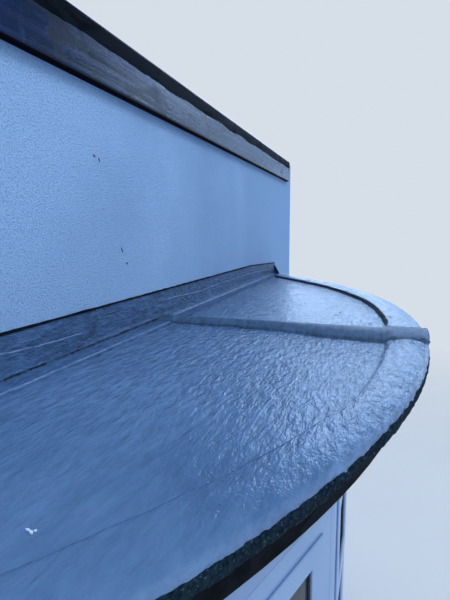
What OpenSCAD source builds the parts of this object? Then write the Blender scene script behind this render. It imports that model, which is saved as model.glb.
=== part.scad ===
// Bay window: a bow of five flat lights under a flat roof with a round front edge,
// with the stretch of house wall that carries it and the timber band above.
// Millimetres. Origin on the ground at the middle of the wall face, front towards -Y.

/* [Roof plan] */
// Radius of the roof's round outer edge
roof_r = 2080; // [1960:10:2200]
// Reach of the roof from the wall face, at its middle
roof_reach = 840; // [760:10:880]
// Half the angle of the round stretch, before the edge runs straight to the wall
round_half = 40; // [36:1:43]

/* [Roof build-up] */
// Height of the roof surface above the ground
roof_top = 2650; // [2550:10:2800]
// Thickness of the coated roof sheets
sheet_t = 6; // [5:1:12]
// Thickness of the boarded deck
deck_t = 18; // [15:1:30]
// Width of the raised rim
rim_w = 104; // [80:2:130]
// Height of the raised rim above the roof surface
rim_h = 14; // [8:1:22]
// Width of the step on the inner side of the rim
rim_slope = 12; // [8:1:30]
// Height of that step
rim_step = 10; // [5:1:14]
// Distance of the rim's ridge from the roof's edge
rim_ridge = 50; // [30:2:70]
// Height of the rim at the roof's edge
rim_lip = 4; // [2:1:8]
// Width of the rounding at the roof's edge
rim_round = 12; // [6:1:20]
// Depth of the drip edge, down from the roof surface
drip_h = 26; // [24:1:50]
// Thickness of the drip edge
drip_t = 12; // [8:1:18]

/* [Centre roll] */
// Width of the roll at its foot
roll_w = 120; // [60:2:160]
// Height of the roll above the roof surface
roll_h = 21; // [16:1:40]
// Width of the roll's rounded back
roll_back = 44; // [30:2:60]
// Height of that rounding
roll_rise = 6; // [3:1:10]
// Thickness of the cap on the roll's outer end
cap_t = 5; // [3:1:8]
// Depth of the cap below the roof surface
cap_skirt = 10; // [6:1:16]

/* [Wall flashing] */
// Height of the flashing above the roof surface
flash_h = 96; // [80:1:150]
// Drop of the flashing's top edge towards both ends
flash_drop = 24; // [10:1:40]
// Distance from the middle at which that drop starts
flash_level = 1150; // [900:50:1400]
// Thickness of the flashing
flash_t = 7; // [4:1:12]
// Reach of the flashing's foot over the roof
foot_w = 60; // [50:1:90]
// Thickness of the flashing's foot
foot_t = 4; // [2:1:6]
// Height and width of the sloping fillet under the flashing
cant = 10; // [6:1:20]
// Height of the dark strip that closes the flashing's top edge
strip_h = 8; // [6:1:16]
// Thickness of that strip
strip_t = 11; // [8:1:16]

/* [Eaves] */
// Set-back of the dark fascia from the roof's edge
fascia_back = 45; // [30:1:70]
// Thickness of the dark fascia
fascia_t = 20; // [12:1:30]
// Depth of the dark fascia's lower edge below the roof surface
fascia_drop = 102; // [80:1:130]
// Thickness of the soffit board
soffit_t = 10; // [6:1:16]
// Overhang of the roof past the corners of the window bow
overhang = 199; // [170:1:230]

/* [Window bow] */
// Angle from the middle to the first corner
corner_1 = 7.6; // [6:0.1:9]
// Angle from the middle to the second corner
corner_2 = 29.3; // [26:0.1:32]
// Depth of the window frames
frame_d = 70; // [60:1:84]
// Width of the frame members
frame_w = 62; // [50:1:72]
// Width of the post on each side of a corner
post_w = 22; // [18:1:30]
// Width of the end posts at their back edge, against the wall
end_w = 10; // [6:1:20]
// Top of the window frames above the ground
frame_top = 2260; // [2200:10:2300]
// Height of the sill's upper face above the ground
sill_top = 790; // [700:10:850]
// Height of the transom's middle below the frame top
transom_drop = 440; // [380:10:500]
// Width of the sash members
sash_w = 52; // [44:1:60]
// How far the sash stands out past the frame face
sash_proud = 6; // [4:1:14]
// How far the sash laps over the frame face
sash_lap = 9; // [5:1:14]
// Clearance round a sash within its frame
sash_gap = 3; // [2:0.5:5]
// Thickness of the glass units
glass_t = 24; // [16:1:28]
// Depth of the glass behind the face that holds it
glass_back = 10; // [8:1:20]
// How deep the glass sits in its groove
glass_bite = 12; // [8:1:16]

/* [Head and ceiling] */
// Thickness of the white head boards over the windows
head_t = 84; // [70:2:110]
// Height of the bay's ceiling above the ground
ceiling_z = 2400; // [2350:10:2460]
// Thickness of the ceiling lining
ceiling_t = 12; // [9:1:18]

/* [Low wall] */
// How far the low wall stands out past the window corners
low_out = 20; // [10:2:40]
// Thickness of the low wall
low_t = 250; // [200:10:300]
// Height of the plinth
plinth_h = 150; // [100:10:250]
// How far the plinth stands out
plinth_out = 25; // [15:1:40]
// Thickness of the outer sill
sill_t = 34; // [26:1:44]
// How far the outer sill stands out past the window frames
sill_out = 58; // [45:1:75]
// Thickness of the inner window board
board_t = 22; // [16:1:30]
// How far the window board stands past the low wall on the room side
board_over = 30; // [15:1:50]

/* [House wall] */
// Length of the stretch of wall
wall_l = 4650; // [4400:50:5400]
// Thickness of the wall
wall_t = 280; // [240:10:320]
// Clear width of the opening behind the bay
opening_w = 2500; // [2300:10:2600]
// Height of the lintel over the opening
lintel_h = 180; // [150:10:200]
// Bearing of the lintel on each side
bearing = 150; // [100:10:200]
// Thickness of wall left in front of the lintel
lintel_cover = 30; // [20:5:60]
// How far the timber band ends before the wall's ends
band_short = 170; // [80:10:240]
// Underside of the timber band above the roof surface
band_up = 670; // [600:1:720]
// Height of the timber band
band_h = 142; // [120:2:170]
// How far the timber band stands out from the wall face
band_out = 26; // [20:1:45]
// Depth of the timber band's housing in the wall
band_in = 40; // [20:5:60]

/* [Hidden] */
$fn = 360;

white = "#dfe6ee";
render_white = "#d3dce8";
coat_grey = "#6d7f9a";
moss_dark = "#2f3830";
timber_black = "#23262e";
glass_grey = "#27333c";
masonry = "#b3aca2";

big = 8000;
centre_y = roof_r - roof_reach;
sheet_under = roof_top - sheet_t;
deck_under = sheet_under - deck_t;
deck_r = roof_r - drip_t;

frame_r = roof_r - overhang;
wall_angle = acos(centre_y / frame_r);
light_turn = [0, (corner_1 + corner_2) / 2, (corner_2 + wall_angle) / 2];
light_span = [corner_1, (corner_2 - corner_1) / 2, (wall_angle - corner_2) / 2];
frame_base = sill_top;
transom_z = frame_top - transom_drop;

fascia_r = roof_r - fascia_back;
fascia_under = roof_top - fascia_drop;
low_r = frame_r + low_out;
low_top = sill_top - sill_t;
band_under = roof_top + band_up;
wall_top = band_under + band_h;
band_l = wall_l - 2 * band_short;

// Everything in front of the wall face
module before_wall(gap = 0) {
    intersection() {
        children();
        translate([-big / 2, -big - gap, -1]) cube([big, big, big]);
    }
}

// Plan of the roof out to radius r: a round front that runs on straight to the wall
module roof_plan(r) {
    reach_x = (r - centre_y * cos(round_half)) / sin(round_half);
    touch = [r * sin(round_half), centre_y - r * cos(round_half)];
    intersection() {
        union() {
            translate([0, centre_y]) circle(r);
            polygon([[0, centre_y], [-reach_x, 0], [-touch[0], touch[1]],
                [touch[0], touch[1]], [reach_x, 0]]);
        }
        translate([-big / 2, -big]) square([big, big]);
    }
}

// Sweep of a profile round the front: x is the distance from the round's centre, y the height
module front_run() {
    translate([0, centre_y, 0]) rotate([0, 0, 270 - round_half])
        rotate_extrude(angle = 2 * round_half, $fn = 360) children();
}

// The same profile along the straight stretch at one end, side is -1 or 1
module end_run(side) {
    run = roof_reach / sin(round_half);
    translate([0, centre_y, 0]) rotate([90, 0, 270 + side * round_half])
        translate([0, 0, side > 0 ? -run : 0]) linear_extrude(run) children();
}

// Flat ring round the roof between two radii
module round_band(r_out, r_in, z0, z1) {
    translate([0, 0, z0]) linear_extrude(z1 - z0, convexity = 4) difference() {
        roof_plan(r_out);
        translate([0, 0.01]) roof_plan(r_in);
    }
}

// Light i runs from -2 at the left end to 2 at the right end
function turn(i) = sign(i) * light_turn[abs(i)];
function face_r(i) = frame_r * cos(light_span[abs(i)]);

// Corner between light i and the next one, with the faces moved out by grow
function corner(i, grow) =
    let (a = turn(i), b = turn(i + 1), p = face_r(i) + grow, q = face_r(i + 1) + grow)
    [(p * cos(b) - q * cos(a)) / sin(a - b), centre_y - (q * sin(a) - p * sin(b)) / sin(a - b)];

// Where the end light's face meets the wall, side is -1 or 1
function wall_end(side, grow) =
    [side * (face_r(2) + grow - centre_y * cos(turn(2))) / sin(turn(2)), 0];

function bow_points(grow) =
    concat([wall_end(-1, grow)], [for (i = [-2:1]) corner(i, grow)], [wall_end(1, grow)]);

module bow_plan(grow) polygon(bow_points(grow));

// Ring along the bow between two offsets of the window faces
module bow_ring(out, inn) {
    difference() {
        bow_plan(out);
        intersection() {
            bow_plan(-inn);
            translate([-big / 2, -big]) square([big, big + 1]);
        }
    }
}

// The strip of plan that belongs to light i, mitred at its corners
module light_region(i, out, inn) {
    near_out = i == -2 ? wall_end(-1, out) : corner(i - 1, out);
    far_out = i == 2 ? wall_end(1, out) : corner(i, out);
    near_in = i == -2 ? wall_end(-1, -inn) : corner(i - 1, -inn);
    far_in = i == 2 ? wall_end(1, -inn) : corner(i, -inn);
    polygon([near_out, far_out, far_in, near_in]);
}

// What the wall takes off the width of light i: only the end lights meet it
function wall_cut(i) = abs(i) == 2 ? frame_d / tan(light_turn[2]) + end_w - post_w : 0;

// Places something on the face of light i: x along the face, y into the bay, z up
module at_light(i) {
    translate([0, centre_y, 0]) rotate([0, 0, turn(i)])
        translate([-sign(i) * wall_cut(i) / 2, -face_r(i), 0]) children();
}

function half_light(i) = frame_r * sin(light_span[abs(i)]) - post_w - wall_cut(i) / 2;

// Upright block on a light, from its left, front and lower corner
module block(x0, x1, y0, y1, z0, z1) translate([x0, y0, z0]) cube([x1 - x0, y1 - y0, z1 - z0]);

// The two clear openings of light i: 0 is the tall lower one, 1 the fanlight
function clear_z(k) = k == 0 ? [frame_base + frame_w, transom_z - frame_w / 2]
    : [transom_z + frame_w / 2, frame_top - frame_w];

function has_sash(i, k) = k == 1 || abs(i) == 1;

// Glass of opening k in light i
module pane(i, k) {
    z = clear_z(k);
    half = half_light(i) - frame_w;
    inset = has_sash(i, k) ? sash_w - glass_bite : -glass_bite;
    front = has_sash(i, k) ? glass_back - sash_proud : glass_back;
    block(-half + inset, half - inset, front, front + glass_t, z[0] + inset, z[1] - inset);
}

module sash(i, k) {
    z = clear_z(k);
    half = half_light(i) - frame_w;
    see = half - sash_w;
    difference() {
        union() {
            block(-half + sash_gap, half - sash_gap, 0, frame_d - sash_proud,
                z[0] + sash_gap, z[1] - sash_gap);
            block(-half - sash_lap, half + sash_lap, -sash_proud, 0,
                z[0] - sash_lap, z[1] + sash_lap);
        }
        block(-see, see, -sash_proud - 1, frame_d, z[0] + sash_w, z[1] - sash_w);
        pane(i, k);
    }
}

module frame(i) {
    half = half_light(i);
    see = half - frame_w;
    difference() {
        block(-half, half, 0, frame_d, frame_base, frame_top);
        for (k = [0, 1]) {
            z = clear_z(k);
            block(-see, see, -1, frame_d + 1, z[0], z[1]);
            if (!has_sash(i, k)) pane(i, k);
        }
    }
}

module light_frame(i) color(white) at_light(i) frame(i);

module light_sash(i) color(white) at_light(i) for (k = [0, 1]) if (has_sash(i, k)) sash(i, k);

module light_glass(i) color(glass_grey) at_light(i) for (k = [0, 1]) pane(i, k);

// House wall
module wall_side(side) {
    long = (wall_l - opening_w) / 2;
    color(render_white) translate([side > 0 ? opening_w / 2 : -wall_l / 2, 0, 0])
        cube([long, wall_t, ceiling_z]);
}

module lintel_block(cover) {
    translate([-opening_w / 2 - bearing, lintel_cover, ceiling_z])
        cube([opening_w + 2 * bearing, wall_t - lintel_cover + cover, lintel_h]);
}

module band_block() {
    chamfer = 4;
    translate([-band_l / 2, 0, 0]) rotate([90, 0, 90]) linear_extrude(band_l)
        polygon([[band_in, band_under], [-band_out + chamfer, band_under],
            [-band_out, band_under + chamfer], [-band_out, wall_top], [band_in, wall_top]]);
}

module house_wall_above() color(render_white) difference() {
    translate([-wall_l / 2, 0, ceiling_z]) cube([wall_l, wall_t, wall_top - ceiling_z]);
    lintel_block(1);
    translate([-band_l / 2, -1, band_under]) cube([band_l, band_in + 1, band_h + 1]);
}

module opening_lintel() color(masonry) lintel_block(0);

module timber_band() color(timber_black) band_block();

// Low wall, sill and window board
module low_ring(out, inn, z0, z1) {
    before_wall() translate([0, centre_y, z0]) difference() {
        cylinder(r = low_r + out, h = z1 - z0);
        translate([0, 0, -1]) cylinder(r = low_r - inn, h = z1 - z0 + 2);
    }
}

module low_wall() color(render_white) low_ring(0, low_t, 0, low_top);

module bay_plinth() color(masonry) low_ring(plinth_out, 0, 0, plinth_h);

module outer_sill() {
    fall = 10;
    color(white) for (i = [-2:2]) intersection() {
        translate([0, 0, low_top]) linear_extrude(sill_t) light_region(i, sill_out, frame_d);
        at_light(i) translate([-big / 2, 0, 0]) rotate([90, 0, 90]) linear_extrude(big)
            polygon([[frame_d + 1, low_top], [-sill_out, low_top],
                [-sill_out, sill_top - fall - 6], [-sill_out + 6, sill_top - fall],
                [0, sill_top], [frame_d + 1, sill_top]]);
    }
}

module window_board() color(white) before_wall() translate([0, 0, low_top]) linear_extrude(board_t)
    difference() {
        bow_plan(-frame_d);
        translate([0, centre_y]) circle(low_r - low_t - board_over);
    }

// Posts at the corners of the bow and at the wall
module post_stock() {
    difference() {
        translate([0, 0, frame_base]) linear_extrude(frame_top - frame_base) bow_ring(0, frame_d);
        for (i = [-2:2]) at_light(i)
            block(-half_light(i), half_light(i), -50, frame_d + 50, frame_base - 1, frame_top + 1);
    }
}

// Everything past the middle of the end lights, seen from the round's centre
module end_zone() for (side = [-1, 1])
    linear_extrude(big / 2) polygon([[0, centre_y],
        [side * big * sin(light_turn[2]), centre_y - big * cos(light_turn[2])], [side * big, centre_y]]);

module corner_posts() color(white) difference() {
    post_stock();
    end_zone();
}

module end_posts() color(white) intersection() {
    post_stock();
    end_zone();
}

// Head, ceiling and eaves
module head_boards() color(white) translate([0, 0, frame_top])
    linear_extrude(deck_under - frame_top) bow_ring(0, head_t);

module bay_ceiling() color(white) translate([0, 0, ceiling_z]) linear_extrude(ceiling_t)
    bow_plan(-head_t);

module soffit_board() color(timber_black) translate([0, 0, fascia_under]) linear_extrude(soffit_t)
    difference() {
        roof_plan(fascia_r - fascia_t);
        translate([0, 0.01]) bow_plan(0);
    }

module dark_fascia() color(timber_black)
    round_band(fascia_r, fascia_r - fascia_t, fascia_under, deck_under);

// Roof
module roof_deck() color("#8a6f4d") translate([0, 0, deck_under]) linear_extrude(deck_t)
    roof_plan(deck_r);

module roof_sheet(side) color(coat_grey) translate([0, 0, sheet_under]) linear_extrude(sheet_t)
    intersection() {
        roof_plan(deck_r);
        translate([side > 0 ? 0 : -big, -big]) square([big, big]);
    }

module rim_profile() polygon([
    [roof_r - rim_w, roof_top], [roof_r - rim_w + rim_slope, roof_top + rim_step],
    [roof_r - rim_ridge, roof_top + rim_h], [roof_r - rim_round, roof_top + rim_h - rim_lip],
    [roof_r, roof_top + rim_lip], [roof_r, roof_top]]);

module rim_front() color(coat_grey) front_run() rim_profile();

module rim_end(side) color(coat_grey) before_wall(foot_w) end_run(side) rim_profile();

module drip_edge() color(moss_dark) round_band(roof_r, deck_r, roof_top - drip_h, roof_top);

// Low bar with a rounded back and splayed flanks, from y0 out to y1, its foot skirt below the roof
module roll_bar(y0, y1, skirt) {
    edge = 3;
    crown = (roll_back * roll_back / 4 + roll_rise * roll_rise) / (2 * roll_rise);
    translate([0, -y0, roof_top]) rotate([90, 0, 0]) linear_extrude(y1 - y0) polygon(concat(
        [[-roll_w / 2, -skirt], [-roll_w / 2, edge]],
        [for (a = [-1:0.125:1]) let (x = a * roll_back / 2)
            [x, roll_h - crown + sqrt(crown * crown - x * x)]],
        [[roll_w / 2, edge], [roll_w / 2, -skirt]]));
}

module centre_roll() color(coat_grey) difference() {
    roll_bar(flash_t + cant, roof_reach, 0);
    front_run() rim_profile();
    along_wall() flashing_profile();
}

module roll_cap() color(coat_grey) roll_bar(roof_reach, roof_reach + cap_t, cap_skirt);

// Flashing: profiles with x as the distance out from the wall
module along_wall() {
    intersection() {
        translate([-big / 2, 0, 0]) rotate([90, 0, 90]) linear_extrude(big) mirror([1, 0]) children();
        linear_extrude(big / 2) roof_plan(roof_r);
    }
}

module flashing_profile() polygon([[0, roof_top + cant], [0, roof_top + flash_h],
    [flash_t, roof_top + flash_h], [flash_t, roof_top + cant + flash_t],
    [cant + flash_t, roof_top + foot_t + 2], [foot_w - 3, roof_top + foot_t], [foot_w, roof_top + 2],
    [foot_w, roof_top], [cant, roof_top]]);

// Under a line that is level in the middle and drops towards both ends, up above the flashing's top
module under_slope(up) {
    reach_x = (roof_r - centre_y * cos(round_half)) / sin(round_half);
    top = roof_top + flash_h + up;
    rotate([90, 0, 0]) translate([0, 0, -1]) linear_extrude(big) polygon([[-reach_x, 0], [reach_x, 0],
        [reach_x, top - flash_drop], [flash_level, top], [-flash_level, top],
        [-reach_x, top - flash_drop]]);
}

module cant_fillet() color(timber_black) along_wall()
    polygon([[0, roof_top], [cant, roof_top], [0, roof_top + cant]]);

module wall_flashing() color(coat_grey) intersection() {
    along_wall() flashing_profile();
    under_slope(0);
}

module flashing_strip() color(timber_black) difference() {
    intersection() {
        along_wall() translate([0, roof_top + flash_h - flash_drop])
            square([strip_t, strip_h + flash_drop]);
        under_slope(strip_h);
    }
    under_slope(0);
}

wall_side(-1);  // house_wall_left
wall_side(1);  // house_wall_right
house_wall_above();
opening_lintel();
timber_band();
bay_plinth();
low_wall();
outer_sill();
window_board();
corner_posts();
end_posts();
light_frame(-2);  // left_end_frame
light_frame(-1);  // left_frame
light_frame(0);  // centre_frame
light_frame(1);  // right_frame
light_frame(2);  // right_end_frame
light_sash(-2);  // left_end_sash
light_sash(-1);  // left_sash
light_sash(0);  // centre_sash
light_sash(1);  // right_sash
light_sash(2);  // right_end_sash
light_glass(-2);  // left_end_glass
light_glass(-1);  // left_glass
light_glass(0);  // centre_glass
light_glass(1);  // right_glass
light_glass(2);  // right_end_glass
head_boards();
bay_ceiling();
soffit_board();
dark_fascia();
roof_deck();
roof_sheet(-1);  // roof_sheet_left
roof_sheet(1);  // roof_sheet_right
rim_front();
rim_end(-1);  // rim_left_end
rim_end(1);  // rim_right_end
drip_edge();
centre_roll();
roll_cap();
cant_fillet();
wall_flashing();
flashing_strip();
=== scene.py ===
import math
import bpy
import bmesh
from mathutils import Matrix, Vector, noise


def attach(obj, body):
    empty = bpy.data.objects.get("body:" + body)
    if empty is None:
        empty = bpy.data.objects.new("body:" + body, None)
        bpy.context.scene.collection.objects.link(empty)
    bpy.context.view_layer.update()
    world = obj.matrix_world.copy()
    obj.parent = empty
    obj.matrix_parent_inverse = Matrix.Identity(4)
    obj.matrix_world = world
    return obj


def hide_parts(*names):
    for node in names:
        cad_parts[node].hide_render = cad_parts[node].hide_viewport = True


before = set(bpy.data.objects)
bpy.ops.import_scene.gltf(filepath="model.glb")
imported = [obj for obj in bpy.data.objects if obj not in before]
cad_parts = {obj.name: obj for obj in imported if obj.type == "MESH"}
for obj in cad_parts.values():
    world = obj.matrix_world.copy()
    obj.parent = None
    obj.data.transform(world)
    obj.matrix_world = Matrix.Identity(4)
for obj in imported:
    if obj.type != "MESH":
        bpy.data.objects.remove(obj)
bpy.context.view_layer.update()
print("frame loaded:", len(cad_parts), "nodes")

scene = bpy.context.scene
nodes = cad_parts


# camera, at the photograph's viewing angle
cameraView = {
    "place": (-1.3622, -0.7103, 2.95),
    "forward": (0.93438, 0.32266, -0.15112),
    "rollAngle": -0.0092,
    "focalPixels": 451.0,
    "frameHeight": 600,
    "sensor": 36.0,
    "clipNear": 0.01,
    "clipFar": 200,
}


def makeCamera(v):
    data = bpy.data.cameras.new("viewCamera")
    data.sensor_width = v["sensor"]
    data.lens = v["focalPixels"] / v["frameHeight"] * v["sensor"]
    data.clip_start = v["clipNear"]
    data.clip_end = v["clipFar"]
    cam = bpy.data.objects.new("viewCamera", data)
    scene.collection.objects.link(cam)
    back = -Vector(v["forward"]).normalized()
    level = Vector((0, 0, 1)).cross(back).normalized()
    right = Matrix.Rotation(v["rollAngle"], 3, back) @ level
    up = back.cross(right)
    m = Matrix((right, up, back)).transposed().to_4x4()
    m.translation = Vector(v["place"])
    cam.matrix_world = m
    scene.camera = cam
    print("camera set")


makeCamera(cameraView)


# shader helpers
def newMaterial(name):
    mat = bpy.data.materials.new(name)
    mat.use_nodes = True
    tree = mat.node_tree
    tree.nodes.clear()
    out = tree.nodes.new("ShaderNodeOutputMaterial")
    skin = tree.nodes.new("ShaderNodeBsdfPrincipled")
    tree.links.new(skin.outputs["BSDF"], out.inputs["Surface"])
    coords = tree.nodes.new("ShaderNodeTexCoord")
    return mat, tree, skin, coords.outputs["Object"]


def srgb(r, g, b):
    def lin(c):
        c = c / 255
        return c / 12.92 if c <= 0.04045 else ((c + 0.055) / 1.055) ** 2.4
    return (lin(r), lin(g), lin(b), 1.0)


# plain values are set on a node's sockets, and other nodes' outputs are linked to them
def feed(tree, n, inputs):
    for key, value in inputs.items():
        if isinstance(value, (int, float, tuple)):
            n.inputs[key].default_value = value
        elif value is not None:
            tree.links.new(value, n.inputs[key])


def newNode(tree, kind, inputs):
    n = tree.nodes.new(kind)
    feed(tree, n, inputs)
    return n.outputs


def stretched(tree, coords, scale):
    return newNode(tree, "ShaderNodeMapping", {"Vector": coords, "Scale": scale})["Vector"]


def noiseNode(tree, coords, scale, detail=3.0, rough=0.55, distort=0.0):
    inputs = {"Vector": coords, "Scale": scale, "Detail": detail, "Roughness": rough, "Distortion": distort}
    return newNode(tree, "ShaderNodeTexNoise", inputs)["Fac"]


def cellNode(tree, coords, scale):
    return newNode(tree, "ShaderNodeTexVoronoi", {"Vector": coords, "Scale": scale})["Distance"]


def ramp(tree, fac, stops, colours):
    n = tree.nodes.new("ShaderNodeValToRGB")
    els = n.color_ramp.elements
    els[0].position, els[0].color = stops[0], colours[0]
    els[1].position, els[1].color = stops[-1], colours[-1]
    for stop, colour in zip(stops[1:-1], colours[1:-1]):
        els.new(stop).color = colour
    feed(tree, n, {"Fac": fac})
    return n.outputs["Color"]


def spread(tree, value, fromLow, fromHigh, toLow, toHigh):
    inputs = {"Value": value, "From Min": fromLow, "From Max": fromHigh, "To Min": toLow, "To Max": toHigh}
    return newNode(tree, "ShaderNodeMapRange", inputs)["Result"]


def mathNode(tree, kind, a, b=None):
    n = tree.nodes.new("ShaderNodeMath")
    n.operation = kind
    feed(tree, n, {0: a, 1: b})
    return n.outputs[0]


def times(tree, a, b):
    return mathNode(tree, "MULTIPLY", a, b)


def plus(tree, a, b):
    return mathNode(tree, "ADD", a, b)


def blended(tree, a, b, share):
    return plus(tree, times(tree, a, share), times(tree, b, 1 - share))


def axesOf(tree, vector):
    return newNode(tree, "ShaderNodeSeparateXYZ", {0: vector})


# sockets of the colour mix: 0 is the factor, 6 and 7 the two colours, and 2 the result
def mixColour(tree, fac, a, b, kind="MIX"):
    n = tree.nodes.new("ShaderNodeMix")
    n.data_type = "RGBA"
    n.blend_type = kind
    feed(tree, n, {0: fac, 6: a, 7: b})
    return n.outputs[2]


# bumps laid one over another: (height, strength, depth in metres)
def addBump(tree, skin, layers):
    last = None
    for height, strength, depth in layers:
        inputs = {"Height": height, "Strength": strength, "Distance": depth, "Normal": last}
        last = newNode(tree, "ShaderNodeBump", inputs)["Normal"]
    feed(tree, skin, {"Normal": last})


def paint(tree, skin, colour, rough, specular=0.5):
    feed(tree, skin, {"Base Color": colour, "Roughness": rough, "Specular IOR Level": specular})


# marks are set on a piece's points as it is made: above 0 darkens, as soiling and as painted shade; below 0
# pales, mostly as painted highlights
def grimeAndLightNode(tree):
    n = tree.nodes.new("ShaderNodeAttribute")
    n.attribute_name = "grimeAndPaintedLight"
    return n.outputs["Fac"]


# in all looks, a noise is (scale, detail, roughness, distortion)
# and a range is (from low, from high, to low, to high)

# the coating is calmer towards the left end: metres along the wall, and the share of relief left
calmEnd = {
    "full": -1.05,
    "none": -0.45,
    "share": 0.22,
}

# roof coating: brushed and stippled, grey-blue, glossy
coatLook = {
    "deep": srgb(65, 97, 142),
    "mid": srgb(73, 106, 151),
    "pale": srgb(83, 116, 162),
    # the colour of soiling and of painted shade in creases
    "dirtAndShade": srgb(14, 26, 44),
    # the pale colour laid on edges, mostly as painted highlights
    "worn": srgb(150, 176, 214),
    "fleck": srgb(38, 50, 68),
    "stops": (0.38, 0.5, 0.66),
    "patchShare": 0.6,
    "glossOver": (0.3, 0.7),
    "roughLow": 0.10,
    "roughHigh": 0.17,
    "dullness": 0.6,
    "patchNoise": (2.3, 4, 0.6, 0.4),
    "strokeNoise": (1.0, 4, 0.6, 0.8),
    "stippleNoise": (84, 3.0, 0.62, 0.3),
    "fineNoise": (230, 2.0, 0.6),
    "wrinkleNoise": (42, 5, 0.66, 1.6),
    "markNoise": (70, 4, 0.65),
    "fleckNoise": (6.0, 2),
    "blotNoise": (4.4, 3, 0.6),
    # the brush marks and the stipple are drawn out along the wall
    "strokeStretch": (9, 34, 20),
    "stippleStretch": (0.34, 1, 1),
    "wrinkleStretch": (1, 1, 2.4),
    "blotStretch": (0.7, 1, 1),
    "fleckCells": 38,
    "blotCells": 17,
    "fleckSize": (0.05, 0.08, 1.0, 0.0),
    "fleckShare": (0.58, 0.64, 0.0, 0.7),
    "blotSize": (0.09, 0.15, 1.0, 0.0),
    "blotShare": (0.50, 0.58, 0.0, 0.85),
    "blotSide": (-0.3, 0.1, 0.0, 1.0),
    "markBreak": (0.35, 0.65, 0.25, 1.0),
    # painted shade in the stipple's pits and a painted glint on its peaks
    "pitShadeAndGlint": (-0.14, 0.10, 0.72, 1.10),
    # bump depths in metres
    "strokes": 0.0030,
    "stipple": 0.0075,
    "fine": 0.0009,
    "wrinkles": 0.006,
}


def coatMaterial(name, v, wrinkled=False):
    mat, tree, skin, co = newMaterial(name)
    patches = noiseNode(tree, co, *v["patchNoise"])
    along = axesOf(tree, co)["X"]
    lively = spread(tree, along, calmEnd["full"], calmEnd["none"], calmEnd["share"], 1.0)
    strokes = noiseNode(tree, stretched(tree, co, v["strokeStretch"]), *v["strokeNoise"])
    tone = blended(tree, patches, strokes, v["patchShare"])
    colour = ramp(tree, tone, v["stops"], (v["deep"], v["mid"], v["pale"]))
    flecks = spread(tree, cellNode(tree, co, v["fleckCells"]), *v["fleckSize"])
    rare = spread(tree, noiseNode(tree, co, *v["fleckNoise"]), *v["fleckShare"])
    colour = mixColour(tree, times(tree, flecks, rare), colour, v["fleck"])
    blots = cellNode(tree, stretched(tree, co, v["blotStretch"]), v["blotCells"])
    blots = spread(tree, blots, *v["blotSize"])
    rare = spread(tree, noiseNode(tree, co, *v["blotNoise"]), *v["blotShare"])
    blots = times(tree, blots, times(tree, rare, spread(tree, along, *v["blotSide"])))
    colour = mixColour(tree, blots, colour, v["fleck"])
    # the marks on the points: soiling and painted shade darken, painted highlights pale
    grimeAndPaintedLight = grimeAndLightNode(tree)
    breakUp = spread(tree, noiseNode(tree, co, *v["markNoise"]), *v["markBreak"])
    dirtAndShade = spread(tree, times(tree, grimeAndPaintedLight, breakUp), 0.0, 1.0, 0.0, 1.0)
    colour = mixColour(tree, dirtAndShade, colour, v["dirtAndShade"])
    worn = times(tree, spread(tree, grimeAndPaintedLight, 0.0, -1.0, 0.0, 1.0), breakUp)
    colour = mixColour(tree, worn, colour, v["worn"])
    stipple = noiseNode(tree, stretched(tree, co, v["stippleStretch"]), *v["stippleNoise"])
    stipple = times(tree, mathNode(tree, "SUBTRACT", stipple, 0.5), lively)
    # the stipple's pits are painted darker and its peaks paler, as painted shade and glints, less towards the
    # left end
    colour = mixColour(tree, 1.0, colour, spread(tree, stipple, *v["pitShadeAndGlint"]), "MULTIPLY")
    fine = noiseNode(tree, co, *v["fineNoise"])
    dull = times(tree, mathNode(tree, "MAXIMUM", dirtAndShade, blots), v["dullness"])
    gloss = spread(tree, patches, *v["glossOver"], v["roughLow"], v["roughHigh"])
    paint(tree, skin, colour, plus(tree, gloss, dull))
    layers = [(strokes, 0.35, v["strokes"]), (stipple, 1.0, v["stipple"]), (fine, 1.0, v["fine"])]
    if wrinkled:
        wrinkles = noiseNode(tree, stretched(tree, co, v["wrinkleStretch"]), *v["wrinkleNoise"])
        layers.insert(0, (wrinkles, 1.0, v["wrinkles"]))
    addBump(tree, skin, layers)
    return mat


rollCoat = dict(coatLook, deep=srgb(44, 72, 106), mid=srgb(53, 83, 118), pale=srgb(66, 98, 136),
                roughLow=0.4, roughHigh=0.55, stipple=0.0016)
flashCoat = dict(coatLook, deep=srgb(40, 72, 108), mid=srgb(56, 92, 140), pale=srgb(72, 112, 164),
                 worn=srgb(122, 156, 204), roughLow=0.36, roughHigh=0.6)
coatSkin = coatMaterial("roofCoating", coatLook)
rollSkin = coatMaterial("rollCoating", rollCoat)
flashSkin = coatMaterial("flashingCoating", flashCoat, wrinkled=True)


# moss and dirt on the drip edge
mossLook = {
    "soil": srgb(5, 17, 32),
    "peat": srgb(14, 34, 50),
    "moss": srgb(24, 48, 56),
    "lichen": srgb(66, 92, 112),
    "stops": (0.40, 0.50, 0.60),
    "clumpShare": 0.75,
    "clumpNoise": (130, 5, 0.7, 0.6),
    "driftNoise": (9, 3, 0.6),
    "spotNoise": (210, 3, 0.6),
    "fineNoise": (420, 3),
    "spotShare": (0.58, 0.68, 0.0, 0.7),
    "rough": 0.9,
    "specular": 0.1,
    "clumps": 0.005,
    "fine": 0.0016,
}


def mossMaterial(v):
    mat, tree, skin, co = newMaterial("mossyEdge")
    clumps = noiseNode(tree, co, *v["clumpNoise"])
    tone = blended(tree, clumps, noiseNode(tree, co, *v["driftNoise"]), v["clumpShare"])
    colour = ramp(tree, tone, v["stops"], (v["soil"], v["peat"], v["moss"]))
    spots = spread(tree, noiseNode(tree, co, *v["spotNoise"]), *v["spotShare"])
    paint(tree, skin, mixColour(tree, spots, colour, v["lichen"]), v["rough"], v["specular"])
    fine = noiseNode(tree, co, *v["fineNoise"])
    addBump(tree, skin, [(clumps, 1.0, v["clumps"]), (fine, 0.9, v["fine"])])
    return mat


mossSkin = mossMaterial(mossLook)
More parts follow.
